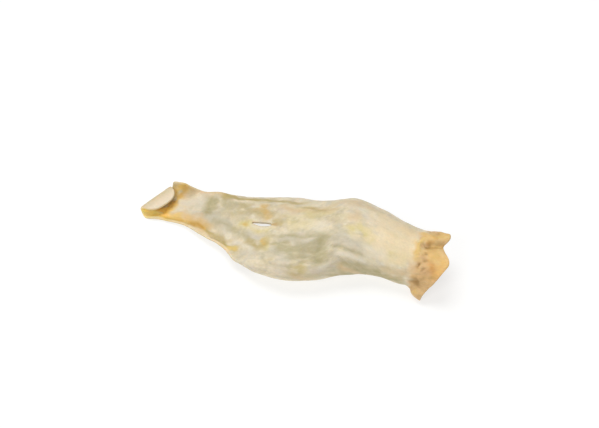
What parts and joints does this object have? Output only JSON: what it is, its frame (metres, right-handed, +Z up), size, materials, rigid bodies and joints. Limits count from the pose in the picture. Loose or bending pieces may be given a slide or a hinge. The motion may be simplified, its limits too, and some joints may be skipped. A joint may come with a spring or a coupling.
{
  "type": "dried goat ear",
  "caption": "Whole dried goat ear lying back side up: leaf folded over at the tip, wide arched middle with a tag slit, rolled tube with a flared, lobed base.",
  "frame": {"origin": "middle of the floor of the bounding box, on the surface that the ear lies on", "axes": "+X along the ear from the folded tip to the base, +Y across it towards the far margin, +Z up, out of the ear's back"},
  "size_m": [0.1684, 0.0574, 0.0298],
  "materials": {
    "ear_skin": "dry cream skin with a soft sheen, amber at the creases and orange at the base"
  },
  "bodies": {
    "root": {"ear": "ear_skin"}
  },
  "joints": []
}
